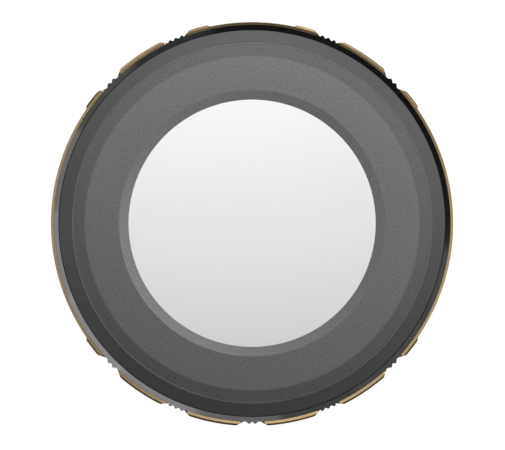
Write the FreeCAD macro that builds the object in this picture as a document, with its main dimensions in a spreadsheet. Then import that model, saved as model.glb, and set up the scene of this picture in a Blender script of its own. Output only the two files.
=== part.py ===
"""Variable neutral-density filter: a polarizer in a fixed mount ring and a second one in a turning grip.

Millimetres. +Z is the optical axis and points out of the front. The origin is on the axis, at the end of the
lens thread, which the filter lies on. Angles are in degrees, from +X towards +Y, seen from the front.
"""
import FreeCAD, Part
import math
import os

import Sketcher

# Driving sizes. Radii are measured from the optical axis, heights along it.
DRIVING_SIZES = {
    # Mount ring, which screws into the lens
    "thread_radius": 18.5,
    "spigot_length": 2.8,
    "spigot_wall": 1.6,
    "flange_width": 5.8,
    "flange_thickness": 1.7,
    "hub_wall": 2.7,
    "hub_height": 2.05,
    "ledge_width": 1.3,
    "ledge_thickness": 0.5,
    # Bearing of the grip, between the flange and the retaining ring on the hub
    "running_gap": 0.1,
    "journal_clearance": 0.05,
    "hub_end_gap": 0.2,
    "retaining_ring_width": 1.85,
    "retaining_ring_thickness": 0.8,
    # Stop pin and its arc slot
    "stop_pin_radius": 0.5,
    "stop_pin_offset": 1.1,
    "stop_pin_engagement": 1.0,
    "stop_pin_seat_clearance": 0.01,
    "stop_slot_clearance": 0.1,
    "stop_slot_floor_gap": 0.2,
    "stop_rest_angle": 232.5,
    "turn_range": 75.0,
    # Polarizers, which are bonded laminates, and the threaded rings
    "polarizer_thickness": 1.1,
    "polarizer_clearance": 0.1,
    "lock_ring_thickness": 0.7,
    "thread_clearance": 0.05,
    "notch_width": 1.6,
    "notch_depth": 0.4,
    # Front bezel
    "aperture_margin": 0.4,
    "aperture_land": 0.25,
    "bevel_width": 1.15,
    "bevel_depth": 0.8,
    "plate_width": 4.2,
    "ring_two_width": 1.45,
    "ring_two_drop": 0.12,
    "polarizer_lap": 1.5,
    # Grip frame
    "inner_flange_thickness": 0.8,
    "shoulder_width": 0.34,
    "seam_gap": 0.04,
    "seam_step": 0.05,
    "ring_one_width": 1.71,
    "ring_one_drop": 0.2,
    "chamfer_width": 0.75,
    "chamfer_drop": 0.6,
    "lip_thickness": 0.3,
    "lip_overhang": 0.8,
    "knurl_stand": 0.2,
    "knurl_depth": 0.28,
    "knurl_count": 200,
    # Grip band
    "band_stand": 0.25,
    "band_fit": 0.02,
    "band_recess": 0.05,
    "band_rear_rim": 0.6,
    "pad_height": 0.25,
    "pad_slope_drop": 0.15,
    "pad_front_step": 0.1,
    "pad_rear_step": 0.35,
    "end_pad_angle": 10.6,
    "end_pad_flank_angle": 0.9,
    "window_width": 2.06,
    "window_mouth_width": 4.2,
    "window_clearance": 0.02,
    "web_inset": 0.12,
    "grip_positions": 16,
}

# Sizes worked out from the driving ones, in an order where each formula uses only what stands above it.
WORKED_OUT_SIZES = {
    # Radii of the mount ring
    "pocket_radius": "thread_radius - spigot_wall",
    "ledge_radius": "pocket_radius - ledge_width",
    "hub_radius": "pocket_radius + hub_wall",
    "flange_radius": "thread_radius + flange_width",
    # Heights of the mount ring
    "base": "0",
    "flange_bottom": "spigot_length",
    "flange_top": "flange_bottom + flange_thickness",
    "hub_top": "flange_top + hub_height",
    "ledge_bottom": "hub_top - ledge_thickness",
    # Rear polarizer and its lock ring
    "rear_polarizer_radius": "pocket_radius - polarizer_clearance",
    "rear_polarizer_bottom": "ledge_bottom - polarizer_thickness",
    "rear_lock_ring_radius": "pocket_radius - thread_clearance",
    "rear_lock_ring_bottom": "rear_polarizer_bottom - lock_ring_thickness",
    # Inner flange of the grip frame and the retaining ring over it
    "frame_bottom": "flange_top + running_gap",
    "inner_flange_top": "frame_bottom + inner_flange_thickness",
    "journal_radius": "hub_radius + journal_clearance",
    "retaining_ring_inner_radius": "hub_radius + thread_clearance",
    "retaining_ring_radius": "retaining_ring_inner_radius + retaining_ring_width",
    "retaining_ring_bottom": "inner_flange_top + running_gap",
    # Stop pin
    "stop_circle_radius": "hub_radius + stop_pin_offset",
    "stop_slot_half_width": "stop_pin_radius + stop_slot_clearance",
    "stop_slot_inner_radius": "stop_circle_radius - stop_slot_half_width",
    "stop_slot_outer_radius": "stop_circle_radius + stop_slot_half_width",
    "stop_pin_bottom": "flange_top - stop_pin_engagement",
    "stop_slot_bottom": "stop_pin_bottom - stop_slot_floor_gap",
    "stop_pin_length": "inner_flange_top - stop_pin_bottom",
    "stop_pin_seat_radius": "stop_pin_radius + stop_pin_seat_clearance",
    "stop_end_play_angle": "stop_slot_clearance / stop_circle_radius * 180 / pi",
    "stop_slot_first_angle": "stop_rest_angle - stop_end_play_angle",
    "stop_slot_last_angle": "stop_rest_angle + turn_range + stop_end_play_angle",
    "stop_slot_middle_angle": "(stop_slot_first_angle + stop_slot_last_angle) / 2",
    "stop_slot_sweep": "stop_slot_last_angle - stop_slot_first_angle",
    # Front bezel, with the front polarizer and its lock ring
    "aperture_radius": "ledge_radius - aperture_margin",
    "bevel_radius": "aperture_radius + bevel_width",
    "plate_radius": "bevel_radius + plate_width",
    "bezel_radius": "plate_radius + ring_two_width",
    "front_polarizer_radius": "aperture_radius + polarizer_lap",
    "bezel_pocket_radius": "front_polarizer_radius + polarizer_clearance",
    "front_lock_ring_radius": "bezel_pocket_radius - thread_clearance",
    "bezel_bottom": "hub_top + hub_end_gap",
    "front_polarizer_bottom": "bezel_bottom + lock_ring_thickness",
    "front_polarizer_top": "front_polarizer_bottom + polarizer_thickness",
    "aperture_edge": "front_polarizer_top + aperture_land",
    "front_face": "aperture_edge + bevel_depth",
    "ring_two_edge": "front_face - ring_two_drop",
    # Grip frame
    "rim_bore_radius": "bezel_radius + seam_gap",
    "counterbore_radius": "rim_bore_radius - shoulder_width",
    "ring_one_radius": "rim_bore_radius + ring_one_width",
    "lip_radius": "ring_one_radius + chamfer_width",
    "band_seat_radius": "lip_radius - lip_overhang",
    "rim_edge": "ring_two_edge - seam_step",
    "ring_one_edge": "rim_edge - ring_one_drop",
    "lip_edge": "ring_one_edge - chamfer_drop",
    "lip_bottom": "lip_edge - lip_thickness",
    "chamfer_slope": "chamfer_drop / chamfer_width",
    # Grip band
    "band_bore_radius": "band_seat_radius + band_fit",
    "band_radius": "lip_radius + band_stand",
    "pad_radius": "band_radius + pad_height",
    "band_bottom": "frame_bottom + band_recess",
    "band_height": "lip_bottom - band_bottom",
    "pad_bottom": "band_bottom + pad_rear_step",
    "pad_bottom_edge": "pad_bottom + pad_height",
    "pad_top": "lip_bottom - pad_front_step",
    "pad_top_edge": "pad_top - pad_slope_drop",
    "pad_length": "pad_top - pad_bottom",
    "window_bottom": "frame_bottom + band_rear_rim",
    "grip_pitch": "360 / grip_positions",
    # Knurled blocks of the frame, which fill the windows of the band
    "knurl_tip_radius": "lip_radius + knurl_stand",
    "knurl_root_radius": "knurl_tip_radius - knurl_depth",
    "knurl_pitch": "2 * pi * knurl_tip_radius / knurl_count",
    "web_radius": "knurl_root_radius - web_inset",
    "block_half_width": "window_width / 2 - window_clearance",
    "block_inner_radius": "band_seat_radius - lip_overhang / 2",
    "block_bottom": "window_bottom + window_clearance",
    "block_length": "lip_edge - block_bottom",
    "knurl_tip_edge": "lip_edge - knurl_stand * chamfer_slope",
}

# Runs of neighbouring windows in the grip band, as (first grip position, number of windows).
WINDOW_RUNS = [(2, 2), (5, 2), (10, 5)]

FULL_TURN = 360

doc = FreeCAD.newDocument("variable_nd_filter")
sheet = doc.addObject("Spreadsheet::Sheet", "Sizes")
bodies = []


def fill_sheet():
    """Write each size beside its name: driving sizes as numbers, the others as formulas."""
    texts = {name: str(number) for name, number in DRIVING_SIZES.items()}
    texts.update({name: "=" + formula for name, formula in WORKED_OUT_SIZES.items()})
    for row, (name, text) in enumerate(texts.items(), start=1):
        sheet.set(f"A{row}", name)
        sheet.set(f"B{row}", text)
        sheet.setAlias(f"B{row}", name)
    doc.recompute()


def cell(formula):
    """The formula with each size's name turned into a reference to its cell."""
    words = formula.replace("(", "( ").replace(")", " )").split()
    known = DRIVING_SIZES.keys() | WORKED_OUT_SIZES.keys()
    return " ".join("Sizes." + word if word in known else word for word in words)


def number(formula):
    """The present value of a formula of size names."""
    return float(sheet.evalExpression(cell(formula)))


def new_body(name):
    """An empty body for one piece, named as its node."""
    body = doc.addObject("PartDesign::Body", name)
    body.Label = name
    bodies.append(body)
    return body


def origin_feature(body, role):
    """One of the body's own origin planes or axes."""
    return next(feature for feature in body.Origin.OriginFeatures if feature.Role == role)


def new_sketch(body, name, plane, height=None, turn=None):
    """An empty sketch on an origin plane, raised to a height along Z or turned about Z by an angle."""
    sketch = body.newObject("Sketcher::SketchObject", name)
    sketch.AttachmentSupport = [(origin_feature(body, plane), "")]
    sketch.MapMode = "FlatFace"
    if turn:
        axis = FreeCAD.Vector(0, 0, 1) if plane == "XY_Plane" else FreeCAD.Vector(0, 1, 0)
        sketch.AttachmentOffset = FreeCAD.Placement(FreeCAD.Vector(), FreeCAD.Rotation(axis, number(turn)))
        sketch.setExpression(".AttachmentOffset.Rotation.Angle", cell(turn))
    if height:
        sketch.setExpression(".AttachmentOffset.Base.z", cell(height))
    return sketch


def bind(sketch, constraint, formula):
    """Add a dimension to the sketch and tie it to its formula."""
    index = sketch.addConstraint(constraint)
    sketch.setExpression(f"Constraints[{index}]", cell(formula))


def add_outline(sketch, corners):
    """Draw a closed outline. A corner is (x, y), or (x, y, radius) where an arc about the axis leads on."""
    places = [FreeCAD.Vector(number(corner[0]), number(corner[1]), 0) for corner in corners]
    starts = []
    ends = []
    for index, corner in enumerate(corners):
        start = places[index]
        end = places[(index + 1) % len(corners)]
        if len(corner) == 2:
            edge = sketch.addGeometry(Part.LineSegment(start, end))
            starts.append((edge, 1))
            ends.append((edge, 2))
        else:
            angles = [math.atan2(place.y, place.x) for place in (start, end)]
            circle = Part.Circle(FreeCAD.Vector(), FreeCAD.Vector(0, 0, 1), number(corner[2]))
            edge = sketch.addGeometry(Part.ArcOfCircle(circle, min(angles), max(angles)))
            onward = angles[0] < angles[1]
            starts.append((edge, 1 if onward else 2))
            ends.append((edge, 2 if onward else 1))
            bind(sketch, Sketcher.Constraint("Radius", edge, number(corner[2])), corner[2])
    for index, corner in enumerate(corners):
        sketch.addConstraint(Sketcher.Constraint("Coincident", *ends[index - 1], *starts[index]))
        bind(sketch, Sketcher.Constraint("DistanceX", -1, 1, *starts[index], places[index].x), corner[0])
        bind(sketch, Sketcher.Constraint("DistanceY", -1, 1, *starts[index], places[index].y), corner[1])


def revolve(body, kind, name, corners, sweep=None, middle=None):
    """Turn a section of (radius, height) corners about the axis, all round or by a sweep about an angle."""
    sketch = new_sketch(body, name + "_section", "XZ_Plane", turn=middle)
    add_outline(sketch, corners)
    feature = body.newObject("PartDesign::" + kind, name)
    feature.Profile = sketch
    feature.ReferenceAxis = (origin_feature(body, "Z_Axis"), [""])
    feature.Angle = FULL_TURN
    if sweep:
        feature.Midplane = True
        feature.setExpression("Angle", cell(sweep))
    doc.recompute()
    return feature


def extrude(body, kind, name, sketch, length, downward=False):
    """Pad or pocket a sketch by a length."""
    feature = body.newObject("PartDesign::" + kind, name)
    feature.Profile = sketch
    feature.Reversed = downward != (kind == "Pocket")
    feature.setExpression("Length", cell(length))
    doc.recompute()
    return feature


def repeat(body, feature, copies, step):
    """Repeat a feature round the axis."""
    pattern = body.newObject("PartDesign::PolarPattern", feature.Name + "_round")
    pattern.Originals = [feature]
    pattern.Axis = (origin_feature(body, "Z_Axis"), [""])
    pattern.Occurrences = copies
    pattern.setExpression("Angle", cell(f"{step} * {copies - 1}"))
    body.Tip = pattern
    doc.recompute()


def circle_sketch(body, name, radius, height, x=None, y=None):
    """A circle at a height, about the axis or about a point (x, y)."""
    sketch = new_sketch(body, name, "XY_Plane", height=height)
    place = FreeCAD.Vector(number(x), number(y), 0) if x else FreeCAD.Vector()
    circle = sketch.addGeometry(Part.Circle(place, FreeCAD.Vector(0, 0, 1), number(radius)))
    bind(sketch, Sketcher.Constraint("Radius", circle, number(radius)), radius)
    if x:
        bind(sketch, Sketcher.Constraint("DistanceX", -1, 1, circle, 3, place.x), x)
        bind(sketch, Sketcher.Constraint("DistanceY", -1, 1, circle, 3, place.y), y)
    else:
        sketch.addConstraint(Sketcher.Constraint("Coincident", circle, 3, -1, 1))
    return sketch


def disc(name, radius, bottom, thickness):
    """A plain round plate."""
    body = new_body(name)
    extrude(body, "Pad", name + "_plate", circle_sketch(body, name + "_outline", radius, bottom), thickness)


def threaded_ring(name, inner, outer, bottom, thickness, notch_bottom):
    """A ring of rectangular section with two notches for a spanner, cut upwards from a height."""
    body = new_body(name)
    top = f"{bottom} + {thickness}"
    section = [(inner, bottom), (outer, bottom), (outer, top), (inner, top)]
    revolve(body, "Revolution", name + "_turning", section)
    sketch = new_sketch(body, name + "_notches", "XY_Plane", height=notch_bottom)
    add_outline(sketch, [
        (f"- {outer}", "- notch_width / 2"),
        (outer, "- notch_width / 2"),
        (outer, "notch_width / 2"),
        (f"- {outer}", "notch_width / 2"),
    ])
    extrude(body, "Pocket", name + "_notch_cut", sketch, "notch_depth")


def stop_point(angle):
    """The formulas of the point on the stop pin's circle at an angle."""
    return f"stop_circle_radius * cos({angle})", f"stop_circle_radius * sin({angle})"


def mount_ring():
    """Thread spigot, flange and hub, with the pocket of the rear polarizer and the slot of the stop pin."""
    body = new_body("mount_ring")
    revolve(body, "Revolution", "mount_ring_turning", [
        ("pocket_radius", "base"),
        ("thread_radius", "base"),
        ("thread_radius", "flange_bottom"),
        ("flange_radius", "flange_bottom"),
        ("flange_radius", "flange_top"),
        ("hub_radius", "flange_top"),
        ("hub_radius", "hub_top"),
        ("ledge_radius", "hub_top"),
        ("ledge_radius", "ledge_bottom"),
        ("pocket_radius", "ledge_bottom"),
    ])
    revolve(body, "Groove", "stop_slot", [
        ("stop_slot_inner_radius", "stop_slot_bottom"),
        ("stop_slot_outer_radius", "stop_slot_bottom"),
        ("stop_slot_outer_radius", "flange_top"),
        ("stop_slot_inner_radius", "flange_top"),
    ], sweep="stop_slot_sweep", middle="stop_slot_middle_angle")
    for end in ("first", "last"):
        x, y = stop_point(f"stop_slot_{end}_angle")
        sketch = circle_sketch(body, f"stop_slot_{end}_end", "stop_slot_half_width", "stop_slot_bottom", x, y)
        extrude(body, "Pocket", f"stop_slot_{end}_round", sketch, "flange_top - stop_slot_bottom")


def rear_polarizer():
    """The laminate in the pocket of the mount ring and the ring that locks it in from behind."""
    disc("rear_polarizer", "rear_polarizer_radius", "rear_polarizer_bottom", "polarizer_thickness")
    bottom = "rear_lock_ring_bottom"
    threaded_ring("rear_lock_ring", "ledge_radius", "rear_lock_ring_radius", bottom, "lock_ring_thickness",
                  notch_bottom=bottom)


def retaining_ring():
    """The ring on the hub that keeps the inner flange of the grip frame down on the mount ring."""
    bottom = "retaining_ring_bottom"
    thickness = "retaining_ring_thickness"
    threaded_ring("retaining_ring", "retaining_ring_inner_radius", "retaining_ring_radius", bottom, thickness,
                  notch_bottom=f"{bottom} + {thickness} - notch_depth")


def block_outline(has_valley):
    """Plan of a knurled block along +X. The knurl goes on round the ring, so blocks show a valley or a tooth
    at the middle by turns.
    """
    root = "knurl_root_radius"
    tip = "knurl_tip_radius"
    if has_valley:
        teeth = [(root, "knurl_pitch"), (tip, "knurl_pitch / 2"), (root, "0")]
    else:
        teeth = [(tip, "knurl_pitch"), (root, "knurl_pitch / 2"), (tip, "0")]
    side = [("block_inner_radius", "block_half_width"), (root, "block_half_width")]
    upper = side + teeth
    lower = [(x, "- " + y) for x, y in reversed(upper) if y != "0"]
    return upper + lower


def grip_frame():
    """Turned ring with the outer front ring, the chamfer, the inner flange and the knurled blocks."""
    body = new_body("grip_frame")
    revolve(body, "Revolution", "grip_frame_turning", [
        ("journal_radius", "frame_bottom"),
        ("band_seat_radius", "frame_bottom"),
        ("band_seat_radius", "lip_bottom"),
        ("lip_radius", "lip_bottom"),
        ("lip_radius", "lip_edge"),
        ("ring_one_radius", "ring_one_edge"),
        ("rim_bore_radius", "rim_edge"),
        ("rim_bore_radius", "bezel_bottom"),
        ("counterbore_radius", "bezel_bottom"),
        ("counterbore_radius", "inner_flange_top"),
        ("journal_radius", "inner_flange_top"),
    ])
    for first, windows in WINDOW_RUNS:
        for position in range(first, first + windows):
            name = f"knurled_block_{position}"
            turn = f"{position} * grip_pitch"
            sketch = new_sketch(body, name + "_plan", "XY_Plane", height="block_bottom", turn=turn)
            add_outline(sketch, block_outline(has_valley=position % 2 == 0))
            extrude(body, "Pad", name, sketch, "block_length")
    revolve(body, "Groove", "knurl_front_chamfer", [
        ("lip_radius", "lip_edge"),
        ("knurl_tip_radius", "knurl_tip_edge"),
        ("knurl_tip_radius", "lip_edge"),
    ])
    x, y = stop_point("stop_rest_angle")
    sketch = circle_sketch(body, "stop_pin_seat_plan", "stop_pin_seat_radius", "frame_bottom", x, y)
    extrude(body, "Pocket", "stop_pin_seat", sketch, "inner_flange_thickness")


def stop_pin():
    """Dowel pressed through the inner flange of the grip frame."""
    body = new_body("stop_pin")
    x, y = stop_point("stop_rest_angle")
    sketch = circle_sketch(body, "stop_pin_plan", "stop_pin_radius", "stop_pin_bottom", x, y)
    extrude(body, "Pad", "stop_pin_dowel", sketch, "stop_pin_length")


def land_outline(windows):
    """Plan of the raised land round a run of windows, with its middle along +X and sloping ends."""
    half_foot = f"grip_pitch * {windows - 1} / 2 + end_pad_angle"
    half_crest = half_foot + " - end_pad_flank_angle"
    upper = [
        (f"pad_radius * cos({half_crest})", f"pad_radius * sin({half_crest})"),
        (f"band_radius * cos({half_foot})", f"band_radius * sin({half_foot})"),
    ]
    inner = (f"lip_radius * cos({half_foot})", f"lip_radius * sin({half_foot})", "lip_radius")
    lower = [(x, "- " + y) for x, y in reversed(upper)]
    inner_lower = (inner[0], "- " + inner[1])
    crest_lower = lower[1] + ("pad_radius",)
    return [inner, inner_lower, lower[0], crest_lower] + upper


def window_outline(inner):
    """Plan of a window along +X, from an inner radius outwards, with sides that flare to its mouth."""
    upper = [
        (inner, "window_width / 2"),
        ("knurl_root_radius", "window_width / 2"),
        ("pad_radius", "window_mouth_width / 2"),
        ("pad_radius + pad_height", "window_mouth_width / 2"),
    ]
    lower = [(x, "- " + y) for x, y in reversed(upper)]
    return upper + lower


def grip_band():
    """Castellated band: raised lands with sloping edges, cut by windows down to a thin web at the back."""
    body = new_body("grip_band")
    revolve(body, "Revolution", "grip_band_turning", [
        ("band_bore_radius", "band_bottom"),
        ("band_radius", "band_bottom"),
        ("band_radius", "lip_bottom"),
        ("band_bore_radius", "lip_bottom"),
    ])
    for first, windows in WINDOW_RUNS:
        middle = f"grip_pitch * {first + (windows - 1) / 2}"
        sketch = new_sketch(body, f"land_{first}_plan", "XY_Plane", height="pad_bottom", turn=middle)
        add_outline(sketch, land_outline(windows))
        extrude(body, "Pad", f"land_{first}", sketch, "pad_length")
    revolve(body, "Groove", "land_front_slope", [
        ("band_radius", "pad_top"),
        ("pad_radius", "pad_top_edge"),
        ("pad_radius + pad_height", "pad_top_edge"),
        ("pad_radius + pad_height", "pad_top"),
    ])
    revolve(body, "Groove", "land_rear_slope", [
        ("band_radius", "pad_bottom"),
        ("pad_radius + pad_height", "pad_bottom"),
        ("pad_radius + pad_height", "pad_bottom_edge"),
        ("pad_radius", "pad_bottom_edge"),
    ])
    for first, windows in WINDOW_RUNS:
        turn = f"{first} * grip_pitch"
        cuts = [
            ("window", "window_bottom", "block_inner_radius", "band_height"),
            ("window_foot", "band_bottom", "web_radius", "window_bottom - band_bottom"),
        ]
        for kind, bottom, inner, length in cuts:
            name = f"{kind}_{first}"
            sketch = new_sketch(body, name + "_plan", "XY_Plane", height=bottom, turn=turn)
            add_outline(sketch, window_outline(inner))
            window = extrude(body, "Pocket", name, sketch, length)
            repeat(body, window, windows, "grip_pitch")


def front_bezel():
    """Front plate with the bevel down to the clear opening and the pocket of the front polarizer."""
    body = new_body("front_bezel")
    revolve(body, "Revolution", "front_bezel_turning", [
        ("aperture_radius", "front_polarizer_top"),
        ("bezel_pocket_radius", "front_polarizer_top"),
        ("bezel_pocket_radius", "bezel_bottom"),
        ("bezel_radius", "bezel_bottom"),
        ("bezel_radius", "ring_two_edge"),
        ("plate_radius", "front_face"),
        ("bevel_radius", "front_face"),
        ("aperture_radius", "aperture_edge"),
    ])


def front_polarizer():
    """The laminate in the pocket of the bezel and the ring that locks it in from behind."""
    disc("front_polarizer", "front_polarizer_radius", "front_polarizer_bottom", "polarizer_thickness")
    bottom = "bezel_bottom"
    threaded_ring("front_lock_ring", "ledge_radius", "front_lock_ring_radius", bottom, "lock_ring_thickness",
                  notch_bottom=bottom)


def check_document():
    """Stop if any object failed or any piece is not one valid solid."""
    doc.recompute()
    for item in doc.Objects:
        if "Invalid" in item.State or "Error" in item.State:
            raise RuntimeError(f"{item.Name} failed: {item.State}")
    for body in bodies:
        shape = body.Shape
        if shape.isNull() or not shape.isValid() or len(shape.Solids) != 1:
            raise RuntimeError(f"{body.Label} is not one valid solid")


def write_pieces():
    """Write each piece to its own file."""
    os.makedirs("parts", exist_ok=True)
    for body in bodies:
        body.Shape.exportStep(f"parts/{body.Label}.step")


fill_sheet()
mount_ring()
rear_polarizer()
retaining_ring()
grip_frame()
stop_pin()
grip_band()
front_bezel()
front_polarizer()
check_document()
write_pieces()
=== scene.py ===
"""Looks of the variable neutral-density filter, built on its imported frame.

The turned rings and the grip band are made anew with their fine forms: rounded edges, the seam, the groove,
the knurl and the lens thread. The other pieces keep their solids. Sizes are in millimetres and become metres
where a mesh is made. +Z is the optical axis, out of the front. Angles are in degrees, from +X towards +Y,
seen from the front.
"""
import math

import bmesh
import bpy
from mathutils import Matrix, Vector


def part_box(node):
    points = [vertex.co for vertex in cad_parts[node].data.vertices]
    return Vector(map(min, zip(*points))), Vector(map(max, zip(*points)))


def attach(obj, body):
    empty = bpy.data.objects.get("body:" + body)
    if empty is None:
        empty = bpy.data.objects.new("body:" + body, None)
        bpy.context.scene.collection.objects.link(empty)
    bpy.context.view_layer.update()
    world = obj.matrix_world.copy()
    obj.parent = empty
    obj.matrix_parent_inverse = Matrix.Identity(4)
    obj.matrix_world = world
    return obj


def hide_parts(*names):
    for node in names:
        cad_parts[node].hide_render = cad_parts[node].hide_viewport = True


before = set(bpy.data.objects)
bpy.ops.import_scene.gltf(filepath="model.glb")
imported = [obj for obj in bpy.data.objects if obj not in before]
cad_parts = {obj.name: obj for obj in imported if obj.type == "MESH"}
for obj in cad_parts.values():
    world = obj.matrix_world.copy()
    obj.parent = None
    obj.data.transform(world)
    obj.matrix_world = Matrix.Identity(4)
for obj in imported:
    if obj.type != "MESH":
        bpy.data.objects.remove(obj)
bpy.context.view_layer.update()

MM = 0.001
FULL_TURN = 360


def reach(node):
    """Radius of a round node, in millimetres."""
    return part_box(node)[1].x / MM


def top(node):
    """Height of a node's front end, in millimetres."""
    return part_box(node)[1].z / MM


def bottom(node):
    """Height of a node's rear end, in millimetres."""
    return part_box(node)[0].z / MM


# Front bezel
BEZEL_RADIUS = reach("front_bezel")
FRONT_FACE = top("front_bezel")
BEZEL_BOTTOM = bottom("front_bezel")
BEZEL_SEAT = top("front_polarizer")
RING_TWO_WIDTH = 1.45
RING_TWO_DROP = 0.12
PLATE_WIDTH = 4.2
BEVEL_WIDTH = 1.15
BEVEL_DEPTH = 0.8
POLARIZER_CLEARANCE = 0.1
PLATE_RADIUS = BEZEL_RADIUS - RING_TWO_WIDTH
BEVEL_RADIUS = PLATE_RADIUS - PLATE_WIDTH
APERTURE_RADIUS = BEVEL_RADIUS - BEVEL_WIDTH
APERTURE_EDGE = FRONT_FACE - BEVEL_DEPTH
RING_TWO_EDGE = FRONT_FACE - RING_TWO_DROP
BEZEL_POCKET_RADIUS = reach("front_polarizer") + POLARIZER_CLEARANCE

# Seam between the bezel and the grip frame: its gap, the chamfer of each edge, and the land beside it. The
# land is coloured lighter than ring one, a painted highlight.
SEAM_GAP = 0.005
SEAM_WIDTH = 0.02
SEAM_DEPTH = 0.016
SEAM_LAND_WIDTH = 0.09

# Grip frame. Its lip is cut back a little, to show the rim of the gold band round it.
LIP_RADIUS = reach("grip_frame")
RIM_EDGE = top("grip_frame")
FRAME_BOTTOM = bottom("grip_frame")
RING_ONE_DROP = 0.2
CHAMFER_WIDTH = 0.75
CHAMFER_DROP = 0.6
GROOVE_WIDTH = 0.1
GROOVE_DEPTH = 0.04
LIP_THICKNESS = 0.3
LIP_OVERHANG = 0.8
LIP_CUT = 0.08
LIP_ROUNDING = 0.012
SHOULDER_WIDTH = 0.34
INNER_FLANGE_THICKNESS = 0.8
RING_ONE_RADIUS = LIP_RADIUS - CHAMFER_WIDTH
RING_ONE_EDGE = RIM_EDGE - RING_ONE_DROP
RIM_BORE_RADIUS = BEZEL_RADIUS + SEAM_GAP
SEAM_LAND_RADIUS = RIM_BORE_RADIUS + SEAM_WIDTH + SEAM_LAND_WIDTH
COUNTERBORE_RADIUS = RIM_BORE_RADIUS - SHOULDER_WIDTH
INNER_FLANGE_TOP = FRAME_BOTTOM + INNER_FLANGE_THICKNESS
LIP_EDGE = RING_ONE_EDGE - CHAMFER_DROP
LIP_BOTTOM = LIP_EDGE - LIP_THICKNESS
CUT_LIP_RADIUS = LIP_RADIUS - LIP_CUT
BAND_SEAT_RADIUS = LIP_RADIUS - LIP_OVERHANG

# Windows of the grip band, as (first position, number of windows) runs round the grip
GRIP_POSITIONS = 16
GRIP_PITCH = FULL_TURN / GRIP_POSITIONS
WINDOW_RUNS = [(2, 2), (5, 2), (10, 5)]
WINDOW_WIDTH = 2.06
WINDOW_MOUTH_WIDTH = 4.2
WINDOW_CLEARANCE = 0.02
BAND_REAR_RIM = 0.6
WINDOW_BOTTOM = FRAME_BOTTOM + BAND_REAR_RIM

# Knurled blocks that fill the windows. The flat and the reach to each side are in pitches.
KNURL_COUNT = 200
KNURL_PITCH = FULL_TURN / KNURL_COUNT
KNURL_STAND = 0.2
KNURL_DEPTH = 0.28
KNURL_TIP_FLAT = 0.12
KNURL_REACH = 1.2
KNURL_SAMPLES = 12
KNURL_TIP_RADIUS = LIP_RADIUS + KNURL_STAND
KNURL_ROOT_RADIUS = KNURL_TIP_RADIUS - KNURL_DEPTH
WEB_INSET = 0.12
WEB_RADIUS = KNURL_ROOT_RADIUS - WEB_INSET

# Grip band with its raised pads and the rim round the lip
BAND_RADIUS = reach("grip_band")
BAND_TOP = top("grip_band")
BAND_BOTTOM = bottom("grip_band")
BAND_FIT = 0.02
BAND_RIM_GAP = 0.005
BAND_RIM_RECESS = 0.02
BAND_RIM_SLOPE = 0.095
PAD_HEIGHT = 0.25
PAD_SLOPE_DROP = 0.15
PAD_FRONT_STEP = 0.1
PAD_REAR_STEP = 0.35
END_PAD_ANGLE = 10.6
END_PAD_FLANK_ANGLE = 0.9
FLARE_SAMPLES = 6
BAND_BORE_RADIUS = BAND_SEAT_RADIUS + BAND_FIT
BAND_RIM_BORE_RADIUS = CUT_LIP_RADIUS + BAND_RIM_GAP
PAD_RADIUS = BAND_RADIUS + PAD_HEIGHT
PAD_BOTTOM = BAND_BOTTOM + PAD_REAR_STEP
PAD_TOP = BAND_TOP - PAD_FRONT_STEP
PAD_SLOPE = PAD_SLOPE_DROP / PAD_HEIGHT

# Mount ring
FLANGE_RADIUS = reach("mount_ring")
HUB_TOP = top("mount_ring")
LEDGE_BOTTOM = top("rear_polarizer")
FLANGE_BOTTOM = 2.8
FLANGE_THICKNESS = 1.7
FLANGE_CHAMFER = 0.3
HUB_RADIUS = 19.6
JOURNAL_CLEARANCE = 0.05
LEDGE_INSET = 1.25
FLANGE_TOP = FLANGE_BOTTOM + FLANGE_THICKNESS
JOURNAL_RADIUS = HUB_RADIUS + JOURNAL_CLEARANCE
LEDGE_RADIUS = reach("rear_lock_ring") - LEDGE_INSET
MOUNT_POCKET_RADIUS = reach("rear_polarizer") + POLARIZER_CLEARANCE

# Lens thread, M37 by 0.75, right-handed
THREAD_RADIUS = 18.5
THREAD_PITCH = 0.75
THREAD_DEPTH_SHARE = 0.5413
THREAD_DEPTH = THREAD_DEPTH_SHARE * THREAD_PITCH
THREAD_CREST = THREAD_PITCH / 8
THREAD_ROOT = THREAD_PITCH / 4
THREAD_LEAD_IN = 0.45
THREAD_RELIEF = 0.35
THREAD_SAMPLES = 52

# Arc slot of the stop pin. The shares place columns along its round ends, the last just past them.
STOP_PIN_OFFSET = 1.1
STOP_CIRCLE_RADIUS = HUB_RADIUS + STOP_PIN_OFFSET
STOP_SLOT_HALF_WIDTH = 0.6
STOP_SLOT_FLOOR_GAP = 0.2
STOP_SLOT_BOTTOM = bottom("stop_pin") - STOP_SLOT_FLOOR_GAP
STOP_SLOT_FIRST_ANGLE = 232.22
STOP_SLOT_LAST_ANGLE = 307.78
STOP_SLOT_END_SHARES = (0, 0.4, 0.7, 0.9, 0.98, 1.001)

# Rounded edges: radii, steps of an arc, the most of a side that it takes, and what is too flat or too short
FINE_EDGE = 0.03
SOFT_EDGE = 0.06
PLATE_EDGE = 3.6
LOCK_RING_EDGE = 0.05
LOCK_RING_EDGE_STEPS = 2
ARC_STEPS = 4
ARC_SHARE = 0.45
FLAT_HALF_ANGLE = math.radians(89)
SHORT_SIDE = 1e-6

# Meshes
MERGE_DISTANCE = 1e-7
CREASE_ANGLE = math.radians(5)
SHARP_ANGLE = math.radians(50)
ANGLE_CLEARANCE = 0.25
EDGE_STEP = 0.02

# Finishes of a section's sides, by their places in a ring's list of materials
MAIN_FINISH = 0
BEZEL_BEVEL_FINISH = 1
BEZEL_SEAM_FINISH = 2
FRAME_CHAMFER_FINISH = 1
# The seam land's lighter colour is a painted highlight.
FRAME_LAND_PAINTED_HIGHLIGHT = 2
# The groove walls take a near-black colour: painted shade in the groove.
FRAME_GROOVE_SHADE = 3

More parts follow.
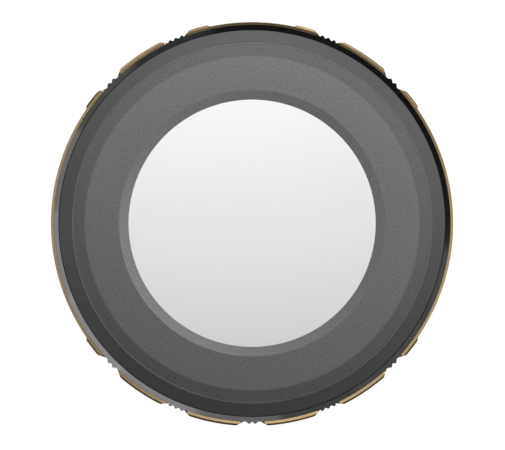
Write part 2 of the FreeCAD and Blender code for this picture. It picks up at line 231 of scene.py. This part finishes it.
# Materials. Noise and colour ramps are used over this range.
NOISE_RANGE = (0.25, 0.75)
NOISE_DETAIL = 2.0
SOFT_BORDER = 0.16
GLASS_ROUGHNESS = 0.03
GLASS_MIRROR = 0.003
GLASS_MIRROR_POWER = 5

# Table, with its half width in metres
TABLE_HALF_WIDTH = 1.5
TABLE_GRAIN = 60
TABLE_ROUGHNESS = 0.7
TABLE_DARK = 0.04
TABLE_LIGHT = 0.05
TABLE_GLOW = 1.0
WHITE = (1, 1, 1, 1)

# Lights: name, azimuth and elevation seen from the filter, distance, width, height (millimetres), brightness
LIGHTS = [
    ("key", 41, 35.7, 65, 93, 40, 2.7),
    ("back", 114, 47, 55, 52, 75, 0.99),
    ("overhead", 198, 70, 178, 123, 492, 0.26),
    ("front", 320, 48, 312, 393, 157, 1.26),
    ("right", 347, 19.6, 450, 190, 61, 2.55),
    ("high_back", 95, 56, 120, 60, 60, 1.35),
    ("high_right", 0, 56, 120, 60, 60, 0.7),
    ("high_left", 180, 56, 120, 60, 60, 0.72),
]

# A low wall of light from the back by the left round to the right: azimuth and brightness of each panel
LOW_WALL = [
    (115, 0.1),
    (140, 0.3),
    (165, 0.68),
    (190, 0.98),
    (215, 1.12),
    (240, 1.0),
    (265, 0.58),
    (290, 0.21),
    (315, 0.27),
    (340, 0.22),
]
LOW_WALL_ELEVATION = 11.5
LOW_WALL_DISTANCE = 300
LOW_WALL_PANEL = (135, 60)
WATTS_PER_BRIGHTNESS = math.pi
LIGHT_AIM = Vector((0, 0, FRONT_FACE * MM))
WORLD_STRENGTH = 0.008

# Camera, straight above the filter: its height over the front face, and the width of the picture there
CAMERA_HEIGHT = 500
PICTURE_WIDTH = 62.0
SENSOR_WIDTH = 36
CAMERA_X = 0.048
CAMERA_Y = -0.219


def fillet(before, corner, after, radius):
    """Points of an arc that rounds a corner of a section. With no room, the corner itself each time."""
    here = Vector(corner)
    back = Vector(before) - here
    onward = Vector(after) - here
    if min(back.length, onward.length) < SHORT_SIDE:
        return [corner] * (ARC_STEPS + 1)
    half_angle = back.angle(onward) / 2
    if half_angle > FLAT_HALF_ANGLE:
        return [corner] * (ARC_STEPS + 1)
    run = min(radius / math.tan(half_angle), ARC_SHARE * back.length, ARC_SHARE * onward.length)
    start = here + back.normalized() * run
    end = here + onward.normalized() * run
    middle = here + (back.normalized() + onward.normalized()).normalized() * run / math.cos(half_angle)
    points = []
    for step in range(ARC_STEPS + 1):
        share = step / ARC_STEPS
        spoke = (start - middle).lerp(end - middle, share).normalized() * (start - middle).length
        points.append(tuple(middle + spoke))
    return points


def section(corners):
    """Outline of a closed section, and the finish of each side.

    Each corner is (radius, height, rounding, finish of the side that follows).
    """
    points = []
    finishes = []
    for index, (radius, height, rounding, finish) in enumerate(corners):
        before = corners[index - 1][:2]
        after = corners[(index + 1) % len(corners)][:2]
        arc = fillet(before, (radius, height), after, rounding) if rounding else [(radius, height)]
        points.extend(arc)
        finishes.extend([finish] * len(arc))
    return points, finishes


def columns_round(outline, extra=(), edges=()):
    """(angle, outline) columns every degree and at extra angles.

    At an edge, an (angle, opens) pair, one column ends the old outline and another, just after it, starts
    the new one.
    """
    marks = sorted(list(extra) + [angle for angle, opens in edges])
    angles = []
    for angle in range(FULL_TURN):
        if all(abs(angle - mark) > ANGLE_CLEARANCE for mark in marks):
            angles.append(angle)
    opens_at = dict(edges)
    is_open = False
    columns = []
    for angle in sorted(angles + marks):
        columns.append((angle, outline(angle, is_open)))
        if angle in opens_at:
            is_open = opens_at[angle]
            columns.append((angle + EDGE_STEP, outline(angle, is_open)))
    return columns


def ring_object(name, body, node, columns, finishes, materials):
    """A closed ring through the columns, in place of a node. Finishes number each side's material."""
    shape = bmesh.new()
    grid = []
    for angle, outline in columns:
        across = math.cos(math.radians(angle)) * MM
        along = math.sin(math.radians(angle)) * MM
        corners = [(radius * across, radius * along, height * MM) for radius, height in outline]
        grid.append([shape.verts.new(corner) for corner in corners])
    for index, column in enumerate(grid):
        following = grid[(index + 1) % len(grid)]
        for low, finish in enumerate(finishes):
            high = (low + 1) % len(finishes)
            face = shape.faces.new((column[low], following[low], following[high], column[high]))
            face.material_index = finish
            face.smooth = True
    bmesh.ops.remove_doubles(shape, verts=shape.verts, dist=MERGE_DISTANCE)
    bmesh.ops.recalc_face_normals(shape, faces=shape.faces)
    mesh = bpy.data.meshes.new(name)
    shape.to_mesh(mesh)
    shape.free()
    mesh.set_sharp_from_angle(angle=CREASE_ANGLE)
    for material in materials:
        mesh.materials.append(material)
    ring = bpy.data.objects.new(name, mesh)
    bpy.context.scene.collection.objects.link(ring)
    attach(ring, body)
    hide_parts(node)


def window_angles():
    """Angles of the middles of the windows."""
    angles = []
    for first, windows in WINDOW_RUNS:
        angles += [position * GRIP_PITCH for position in range(first, first + windows)]
    return angles


def window_edges(half_angle):
    """(angle, opens) pair of each side of each window, for the angle from a window's middle to its side."""
    edges = [(middle - half_angle, True) for middle in window_angles()]
    edges += [(middle + half_angle, False) for middle in window_angles()]
    return edges


def from_window(angle):
    """Angle between a direction and the nearest window's middle."""
    return min(abs(angle - middle) for middle in window_angles())


def width_angle(width, radius):
    """Angle from the middle of an opening to its side, for its width at a radius."""
    return math.degrees(math.asin(width / 2 / radius))


def front_bezel(blasted, bevelled, polished):
    """Front plate with its bevel and the smooth ring round it."""
    points, finishes = section([
        (APERTURE_RADIUS, BEZEL_SEAT, 0, MAIN_FINISH),
        (APERTURE_RADIUS, APERTURE_EDGE, FINE_EDGE, BEZEL_BEVEL_FINISH),
        (BEVEL_RADIUS, FRONT_FACE, SOFT_EDGE, MAIN_FINISH),
        (PLATE_RADIUS, FRONT_FACE, PLATE_EDGE, MAIN_FINISH),
        (BEZEL_RADIUS - SEAM_WIDTH, RING_TWO_EDGE, 0, BEZEL_SEAM_FINISH),
        (BEZEL_RADIUS, RING_TWO_EDGE - SEAM_DEPTH, 0, MAIN_FINISH),
        (BEZEL_RADIUS, BEZEL_BOTTOM, FINE_EDGE, MAIN_FINISH),
        (BEZEL_POCKET_RADIUS, BEZEL_BOTTOM, FINE_EDGE, MAIN_FINISH),
        (BEZEL_POCKET_RADIUS, BEZEL_SEAT, FINE_EDGE, MAIN_FINISH),
    ])
    columns = columns_round(lambda angle, is_open: points)
    materials = [blasted, bevelled, polished]
    ring_object("front_bezel_turned", "grip", "front_bezel", columns, finishes, materials)


def knurl_radius(angle):
    """Radius of the straight knurl, in whole teeth with valleys at angle 0 and at each pitch from there."""
    pitches = angle / KNURL_PITCH
    tooth_middle = (math.floor(pitches) + 0.5) * KNURL_PITCH
    if from_window(tooth_middle) > KNURL_REACH * KNURL_PITCH:
        return KNURL_ROOT_RADIUS
    rise = 2 * abs(pitches - round(pitches)) / (1 - KNURL_TIP_FLAT)
    return KNURL_ROOT_RADIUS + KNURL_DEPTH * min(rise, 1)


def chamfer_height(radius):
    """Height of the grip frame's chamfer at a radius."""
    return LIP_EDGE - (radius - LIP_RADIUS) * CHAMFER_DROP / CHAMFER_WIDTH


def frame_corners(angle, in_window):
    """Section of the grip frame at an angle: plain under the band, knurled in a window."""
    foot = LIP_BOTTOM
    outer = CUT_LIP_RADIUS
    if in_window:
        foot = WINDOW_BOTTOM + WINDOW_CLEARANCE
        outer = knurl_radius(angle)
    groove_half = GROOVE_WIDTH / 2
    groove_outer = RING_ONE_RADIUS + groove_half
    groove_inner = RING_ONE_RADIUS - groove_half
    groove_rise = groove_half * RING_ONE_DROP / (RING_ONE_RADIUS - SEAM_LAND_RADIUS)
    return section([
        (JOURNAL_RADIUS, FRAME_BOTTOM, FINE_EDGE, MAIN_FINISH),
        (BAND_SEAT_RADIUS, FRAME_BOTTOM, FINE_EDGE, MAIN_FINISH),
        (BAND_SEAT_RADIUS, foot, 0, MAIN_FINISH),
        (outer, foot, FINE_EDGE, MAIN_FINISH),
        (outer, chamfer_height(outer), LIP_ROUNDING, FRAME_CHAMFER_FINISH),
        (groove_outer, chamfer_height(groove_outer), 0, FRAME_GROOVE_SHADE),
        (RING_ONE_RADIUS, RING_ONE_EDGE - GROOVE_DEPTH, 0, FRAME_GROOVE_SHADE),
        (groove_inner, RING_ONE_EDGE + groove_rise, 0, MAIN_FINISH),
        (SEAM_LAND_RADIUS, RIM_EDGE, 0, FRAME_LAND_PAINTED_HIGHLIGHT),
        (RIM_BORE_RADIUS + SEAM_WIDTH, RIM_EDGE, 0, FRAME_CHAMFER_FINISH),
        (RIM_BORE_RADIUS, RIM_EDGE - SEAM_DEPTH, 0, MAIN_FINISH),
        (RIM_BORE_RADIUS, BEZEL_BOTTOM, 0, MAIN_FINISH),
        (COUNTERBORE_RADIUS, BEZEL_BOTTOM, FINE_EDGE, MAIN_FINISH),
        (COUNTERBORE_RADIUS, INNER_FLANGE_TOP, 0, MAIN_FINISH),
        (JOURNAL_RADIUS, INNER_FLANGE_TOP, FINE_EDGE, MAIN_FINISH),
    ])


def grip_frame(satin, polished, blasted, groove_shade):
    """Outer front ring, the chamfer with a groove where they meet, and the knurled blocks in the windows.
    The seam land takes the lighter bevel colour, a painted highlight.
    """
    half = width_angle(WINDOW_WIDTH - 2 * WINDOW_CLEARANCE, KNURL_ROOT_RADIUS)
    steps = math.ceil(2 * half / KNURL_PITCH * KNURL_SAMPLES)
    extra = []
    for middle in window_angles():
        extra += [middle - half + 2 * half * step / steps for step in range(1, steps)]
    edges = window_edges(half)
    columns = columns_round(lambda angle, is_open: frame_corners(angle, is_open)[0], extra, edges)
    finishes = frame_corners(0, False)[1]
    # The last material colours the groove walls near black, a painted shade.
    materials = [satin, polished, blasted, groove_shade]
    ring_object("grip_frame_turned", "grip", "grip_frame", columns, finishes, materials)


def land_ends():
    """(first, last) angle of each raised land of the band."""
    ends = []
    for first, windows in WINDOW_RUNS:
        last = first + windows - 1
        ends.append((first * GRIP_PITCH - END_PAD_ANGLE, last * GRIP_PITCH + END_PAD_ANGLE))
    return ends


def pad_radius(angle):
    """Outer radius of the band at an angle, with the raised lands and their sloping ends."""
    inside = max(min(angle - first, last - angle) for first, last in land_ends())
    return BAND_RADIUS + PAD_HEIGHT * min(max(inside / END_PAD_FLANK_ANGLE, 0), 1)


def flare_radius(angle):
    """Radius where a direction meets the sloping side of the nearest window, or the pad's past its mouth."""
    lean = math.tan(math.radians(from_window(angle)))
    half_root = WINDOW_WIDTH / 2
    widening = WINDOW_MOUTH_WIDTH / 2 - half_root
    depth = PAD_RADIUS - KNURL_ROOT_RADIUS
    share = (KNURL_ROOT_RADIUS * lean - half_root) / (widening - depth * lean)
    share = min(max(share, 0), 1)
    side = math.hypot(KNURL_ROOT_RADIUS + share * depth, half_root + share * widening)
    return min(side, PAD_RADIUS)


def band_corners(angle, in_window):
    """Section of the grip band at an angle. Behind a window it is a thin web."""
    side = flare_radius(angle)
    band = min(BAND_RADIUS, side)
    pad = min(pad_radius(angle), side)
    stand = max(pad - BAND_RADIUS, 0)
    rim_bore = min(BAND_RIM_BORE_RADIUS, band)
    rim_share = (band - rim_bore) / (BAND_RADIUS - BAND_RIM_BORE_RADIUS)
    rim_inner_height = chamfer_height(CUT_LIP_RADIUS) - BAND_RIM_RECESS - BAND_TOP
    rim_outer_height = rim_inner_height + BAND_RIM_SLOPE
    outside = [
        (band, BAND_BOTTOM, SOFT_EDGE),
        (band, PAD_BOTTOM, 0),
        (pad, PAD_BOTTOM + stand, FINE_EDGE),
        (pad, PAD_TOP - stand * PAD_SLOPE, FINE_EDGE),
        (band, PAD_TOP, 0),
        (band, BAND_TOP + rim_share * rim_outer_height, FINE_EDGE),
        (rim_bore, BAND_TOP + rim_share * rim_inner_height, 0),
        (rim_bore, BAND_TOP, 0),
    ]
    front = BAND_TOP
    if in_window:
        web = WEB_RADIUS / math.cos(math.radians(from_window(angle)))
        outside = [(web, min(height, WINDOW_BOTTOM), rounding) for radius, height, rounding in outside]
        front = WINDOW_BOTTOM
    corners = [(BAND_BORE_RADIUS, BAND_BOTTOM, FINE_EDGE), *outside, (BAND_BORE_RADIUS, front, 0)]
    return section([(*corner, MAIN_FINISH) for corner in corners])


def grip_band(gold):
    """Castellated band with raised pads and windows."""
    root = width_angle(WINDOW_WIDTH, KNURL_ROOT_RADIUS)
    mouth = width_angle(WINDOW_MOUTH_WIDTH, PAD_RADIUS)
    extra = []
    for first, last in land_ends():
        extra += [first, first + END_PAD_FLANK_ANGLE, last - END_PAD_FLANK_ANGLE, last]
    for middle in window_angles():
        for step in range(1, FLARE_SAMPLES + 1):
            aside = root + (mouth - root) * step / FLARE_SAMPLES
            extra += [middle - aside, middle + aside]
    edges = window_edges(root)
    columns = columns_round(lambda angle, is_open: band_corners(angle, is_open)[0], extra, edges)
    finishes = band_corners(0, False)[1]
    ring_object("grip_band_milled", "grip", "grip_band", columns, finishes, [gold])


def thread_radius(angle, height):
    """Radius of the lens thread, with its lead-in chamfer and the relief below the flange."""
    if height > FLANGE_BOTTOM - THREAD_RELIEF:
        return THREAD_RADIUS - THREAD_DEPTH
    turns = height / THREAD_PITCH - angle / FULL_TURN
    from_crest = abs(turns - round(turns)) * THREAD_PITCH
    flank = (THREAD_PITCH - THREAD_CREST - THREAD_ROOT) / 2
    share = min(max((from_crest - THREAD_CREST / 2) / flank, 0), 1)
    return min(THREAD_RADIUS - THREAD_DEPTH * share, THREAD_RADIUS - THREAD_LEAD_IN + height)


def slot_half_width(angle):
    """Half the width of the stop slot at an angle, with round ends and none beyond them."""
    beyond = max(STOP_SLOT_FIRST_ANGLE - angle, angle - STOP_SLOT_LAST_ANGLE, 0)
    aside = math.radians(beyond) * STOP_CIRCLE_RADIUS
    return math.sqrt(max(STOP_SLOT_HALF_WIDTH**2 - aside**2, 0))


def mount_corners(angle):
    """Section of the mount ring at an angle, with the thread and the stop slot."""
    thread = []
    for step in range(THREAD_SAMPLES + 1):
        height = FLANGE_BOTTOM * step / THREAD_SAMPLES
        thread.append((thread_radius(angle, height), height, 0))
    half = slot_half_width(angle)
    slot_bottom = STOP_SLOT_BOTTOM if half > 0 else FLANGE_TOP
    corners = [
        (MOUNT_POCKET_RADIUS, 0, FINE_EDGE),
        *thread,
        (FLANGE_RADIUS - FLANGE_CHAMFER, FLANGE_BOTTOM, SOFT_EDGE),
        (FLANGE_RADIUS, FLANGE_BOTTOM + FLANGE_CHAMFER, SOFT_EDGE),
        (FLANGE_RADIUS, FLANGE_TOP, SOFT_EDGE),
        (STOP_CIRCLE_RADIUS + half, FLANGE_TOP, 0),
        (STOP_CIRCLE_RADIUS + half, slot_bottom, 0),
        (STOP_CIRCLE_RADIUS - half, slot_bottom, 0),
        (STOP_CIRCLE_RADIUS - half, FLANGE_TOP, 0),
        (HUB_RADIUS, FLANGE_TOP, 0),
        (HUB_RADIUS, HUB_TOP, FINE_EDGE),
        (LEDGE_RADIUS, HUB_TOP, FINE_EDGE),
        (LEDGE_RADIUS, LEDGE_BOTTOM, FINE_EDGE),
        (MOUNT_POCKET_RADIUS, LEDGE_BOTTOM, 0),
    ]
    return section([(*corner, MAIN_FINISH) for corner in corners])


def mount_ring(satin):
    """Thread spigot, flange and hub."""
    round_end = math.degrees(STOP_SLOT_HALF_WIDTH / STOP_CIRCLE_RADIUS)
    extra = []
    for share in STOP_SLOT_END_SHARES:
        extra += [STOP_SLOT_FIRST_ANGLE - share * round_end, STOP_SLOT_LAST_ANGLE + share * round_end]
    columns = columns_round(lambda angle, is_open: mount_corners(angle)[0], extra)
    finishes = mount_corners(0)[1]
    ring_object("mount_ring_threaded", "mount", "mount_ring", columns, finishes, [satin])


def new_material(name):
    """A material with an empty tree. Returns the material, a node maker and a linker."""
    material = bpy.data.materials.new(name)
    material.use_nodes = True
    tree = material.node_tree
    tree.nodes.clear()

    def add(kind, **settings):
        node = tree.nodes.new(kind)
        for key, setting in settings.items():
            if key in node.inputs:
                node.inputs[key].default_value = setting
            else:
                setattr(node, key, setting)
        return node

    return material, add, tree.links.new


def show(add, link, surface):
    """Make a surface the one that the material shows."""
    output = add("ShaderNodeOutputMaterial")
    link(surface, output.inputs["Surface"])


def surface_grain(add, link, scale):
    """Noise in the object's own space, with about scale lumps to the metre."""
    place = add("ShaderNodeTexCoord")
    grain = add("ShaderNodeTexNoise", Scale=scale, Detail=NOISE_DETAIL)
    link(place.outputs["Object"], grain.inputs["Vector"])
    return grain.outputs["Fac"]


def spread(add, link, value, old, new, **settings):
    """The value, carried from its old (low, high) range to a new one."""
    ranged = add("ShaderNodeMapRange", **settings)
    ranged.inputs["From Min"].default_value = old[0]
    ranged.inputs["From Max"].default_value = old[1]
    ranged.inputs["To Min"].default_value = new[0]
    ranged.inputs["To Max"].default_value = new[1]
    link(value, ranged.inputs["Value"])
    return ranged.outputs["Result"]


def tint_between(add, link, value, dark, light):
    """A colour between two, by a value in the noise range."""
    ramp = add("ShaderNodeValToRGB")
    for element, position, colour in zip(ramp.color_ramp.elements, NOISE_RANGE, (dark, light)):
        element.position = position
        element.color = (*colour, 1)
    link(value, ramp.inputs["Fac"])
    return ramp.outputs["Color"]


def beyond_radius(add, link, radius):
    """0 within a radius of the optical axis and 1 beyond it, with a soft border."""
    place = add("ShaderNodeTexCoord")
    across = add("ShaderNodeVectorMath", operation="MULTIPLY")
    across.inputs[1].default_value = (1, 1, 0)
    link(place.outputs["Object"], across.inputs[0])
    length = add("ShaderNodeVectorMath", operation="LENGTH")
    link(across.outputs["Vector"], length.inputs[0])
    border = ((radius - SOFT_BORDER) * MM, (radius + SOFT_BORDER) * MM)
    return spread(add, link, length.outputs["Value"], border, (0, 1), interpolation_type="SMOOTHSTEP")


def grey(brightness):
    """A neutral colour."""
    return brightness, brightness, brightness


def metal_finish(name, dark, light, roughness, metallic, grain_scale, grain_depth, outer=None):
    """A metal's finish, with fine grain in its colour, its roughness and its relief.

    Outer, where it is given, is a (radius, dark, light) beyond which the finish has no relief and has
    other colours.
    """
    material, add, link = new_material(name)
    grain = surface_grain(add, link, grain_scale)
    shader = add("ShaderNodeBsdfPrincipled", Metallic=metallic)
    tint = tint_between(add, link, grain, dark, light)
    relief = add("ShaderNodeBump", Strength=1.0, Distance=grain_depth * MM)
    if outer:
        radius, outer_dark, outer_light = outer
        outside = beyond_radius(add, link, radius)
        both = add("ShaderNodeMix", data_type="RGBA")
        link(outside, both.inputs["Factor"])
        link(tint, both.inputs["A"])
        link(tint_between(add, link, grain, outer_dark, outer_light), both.inputs["B"])
        tint = both.outputs["Result"]
        inside = add("ShaderNodeMath", operation="SUBTRACT")
        inside.inputs[0].default_value = 1
        link(outside, inside.inputs[1])
        link(inside.outputs["Value"], relief.inputs["Strength"])
    link(tint, shader.inputs["Base Color"])
    link(spread(add, link, grain, NOISE_RANGE, roughness), shader.inputs["Roughness"])
    link(grain, relief.inputs["Height"])
    link(relief.outputs["Normal"], shader.inputs["Normal"])
    show(add, link, shader.outputs["BSDF"])
    return material


def glass_with_painted_shade(name, upper, lower):
    """Clear coated laminate whose see-through colour darkens from upper to lower along Y, a painted shade
    gradient. It mirrors more at a slant.
    """
    material, add, link = new_material(name)
    place = add("ShaderNodeTexCoord")
    apart = add("ShaderNodeSeparateXYZ")
    link(place.outputs["Object"], apart.inputs["Vector"])
    opening = (-APERTURE_RADIUS * MM, APERTURE_RADIUS * MM)
    height = spread(add, link, apart.outputs["Y"], opening, NOISE_RANGE)
    clear = add("ShaderNodeBsdfTransparent")
    link(tint_between(add, link, height, lower, upper), clear.inputs["Color"])
    gloss = add("ShaderNodeBsdfGlossy", Roughness=GLASS_ROUGHNESS)
    slant = add("ShaderNodeLayerWeight", Blend=0.5)
    steep = add("ShaderNodeMath", operation="POWER")
    steep.inputs[1].default_value = GLASS_MIRROR_POWER
    link(slant.outputs["Facing"], steep.inputs[0])
    mirror = spread(add, link, steep.outputs["Value"], (0, 1), (GLASS_MIRROR, 1))
    mix = add("ShaderNodeMixShader")
    link(mirror, mix.inputs["Fac"])
    link(clear.outputs["BSDF"], mix.inputs[1])
    link(gloss.outputs["BSDF"], mix.inputs[2])
    show(add, link, mix.outputs["Shader"])
    return material


def dress_node(node, material, edge=0.0):
    """Give a solid of the frame its finish, and round its edges if it shows."""
    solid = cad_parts[node]
    solid.data.materials.clear()
    solid.data.materials.append(material)
    if edge:
        weld = solid.modifiers.new("weld", "WELD")
        weld.merge_threshold = MERGE_DISTANCE
        bevel = solid.modifiers.new("round_edges", "BEVEL")
        bevel.width = edge * MM
        bevel.segments = LOCK_RING_EDGE_STEPS
        bevel.limit_method = "ANGLE"
        bevel.angle_limit = SHARP_ANGLE


def floor():
    """A plain pale table top, lit from within."""
    material, add, link = new_material("light_table")
    grain = surface_grain(add, link, TABLE_GRAIN)
    shader = add("ShaderNodeBsdfPrincipled", Roughness=TABLE_ROUGHNESS)
    tint = tint_between(add, link, grain, grey(TABLE_DARK), grey(TABLE_LIGHT))
    link(tint, shader.inputs["Base Color"])
    shader.inputs["Emission Color"].default_value = WHITE
    shader.inputs["Emission Strength"].default_value = TABLE_GLOW
    show(add, link, shader.outputs["BSDF"])
    half = TABLE_HALF_WIDTH
    corners = [(-half, -half, 0), (half, -half, 0), (half, half, 0), (-half, half, 0)]
    mesh = bpy.data.meshes.new("table_top")
    mesh.from_pydata(corners, [], [(0, 1, 2, 3)])
    mesh.materials.append(material)
    table = bpy.data.objects.new("table_top", mesh)
    bpy.context.scene.collection.objects.link(table)


def studio_light(name, azimuth, elevation, distance, width, height, brightness):
    """A soft rectangular light that faces the filter."""
    lamp = bpy.data.lights.new(name, "AREA")
    lamp.shape = "RECTANGLE"
    lamp.size = width * MM
    lamp.size_y = height * MM
    lamp.energy = WATTS_PER_BRIGHTNESS * lamp.size * lamp.size_y * brightness
    light = bpy.data.objects.new(name, lamp)
    bpy.context.scene.collection.objects.link(light)
    level = math.cos(math.radians(elevation))
    toward = Vector((
        level * math.cos(math.radians(azimuth)),
        level * math.sin(math.radians(azimuth)),
        math.sin(math.radians(elevation)),
    ))
    light.location = LIGHT_AIM + toward * distance * MM
    light.rotation_euler = (-toward).to_track_quat("-Z", "Y").to_euler()
    light.visible_camera = False


def studio_lights():
    """Soft lights round the table, and a faint white world."""
    for settings in LIGHTS:
        studio_light(*settings)
    for azimuth, brightness in LOW_WALL:
        name = f"low_wall_{azimuth}"
        studio_light(name, azimuth, LOW_WALL_ELEVATION, LOW_WALL_DISTANCE, *LOW_WALL_PANEL, brightness)
    world = bpy.data.worlds.new("studio")
    world.use_nodes = True
    background = world.node_tree.nodes["Background"]
    background.inputs["Color"].default_value = WHITE
    background.inputs["Strength"].default_value = WORLD_STRENGTH
    bpy.context.scene.world = world
    bpy.context.scene.view_settings.view_transform = "Standard"


def camera():
    """Camera that looks straight down on the front."""
    lens = bpy.data.cameras.new("camera")
    lens.sensor_width = SENSOR_WIDTH
    lens.lens = SENSOR_WIDTH * CAMERA_HEIGHT / PICTURE_WIDTH
    eye = bpy.data.objects.new("camera", lens)
    eye.location = (CAMERA_X * MM, CAMERA_Y * MM, (FRONT_FACE + CAMERA_HEIGHT) * MM)
    bpy.context.scene.collection.objects.link(eye)
    bpy.context.scene.camera = eye


blasted_black = metal_finish(
    "blasted_black",
    dark=grey(0.085),
    light=grey(0.165),
    roughness=(0.36, 0.41),
    metallic=0.0,
    grain_scale=5000,
    grain_depth=0.004,
    outer=(PLATE_RADIUS, grey(0.062), grey(0.092)),
)
# Also laid on the grip frame's seam land, where this lighter colour is a painted highlight.
bevel_black_and_land_highlight = metal_finish(
    "bevel_black_and_land_highlight",
    dark=grey(0.125),
    light=grey(0.175),
    roughness=(0.36, 0.41),
    metallic=0.0,
    grain_scale=5000,
    grain_depth=0.003,
)
satin_black = metal_finish(
    "satin_black",
    dark=grey(0.04),
    light=grey(0.052),
    roughness=(0.32, 0.355),
    metallic=0.0,
    grain_scale=6000,
    grain_depth=0.0005,
)
polished_black = metal_finish(
    "polished_black",
    dark=grey(0.22),
    light=grey(0.24),
    roughness=(0.14, 0.155),
    metallic=1.0,
    grain_scale=5000,
    grain_depth=0.0002,
)
# Near black, laid only on the groove walls: painted shade in the groove.
groove_shade_black = metal_finish(
    "groove_shade_black",
    dark=grey(0.008),
    light=grey(0.012),
    roughness=(0.5, 0.55),
    metallic=1.0,
    grain_scale=6000,
    grain_depth=0.0005,
)
gold_anodised = metal_finish(
    "gold_anodised",
    dark=(0.425, 0.309, 0.168),
    light=(0.455, 0.333, 0.184),
    roughness=(0.22, 0.25),
    metallic=1.0,
    grain_scale=7000,
    grain_depth=0.002,
)
ground_steel = metal_finish(
    "ground_steel",
    dark=grey(0.5),
    light=grey(0.6),
    roughness=(0.25, 0.4),
    metallic=1.0,
    grain_scale=5000,
    grain_depth=0.001,
)
# Painted shade: both glasses are darker towards lower Y, the rear one much more.
front_glass = glass_with_painted_shade("front_glass", upper=grey(0.998), lower=grey(0.985))
rear_glass = glass_with_painted_shade("rear_glass", upper=(0.964, 0.965, 0.965), lower=(0.794, 0.8, 0.81))

front_bezel(blasted_black, bevel_black_and_land_highlight, polished_black)
grip_frame(satin_black, polished_black, bevel_black_and_land_highlight, groove_shade_black)
grip_band(gold_anodised)
mount_ring(satin_black)
dress_node("rear_lock_ring", satin_black, edge=LOCK_RING_EDGE)
dress_node("retaining_ring", satin_black)
dress_node("front_lock_ring", satin_black)
dress_node("stop_pin", ground_steel)
dress_node("front_polarizer", front_glass)
dress_node("rear_polarizer", rear_glass)
floor()
studio_lights()
camera()
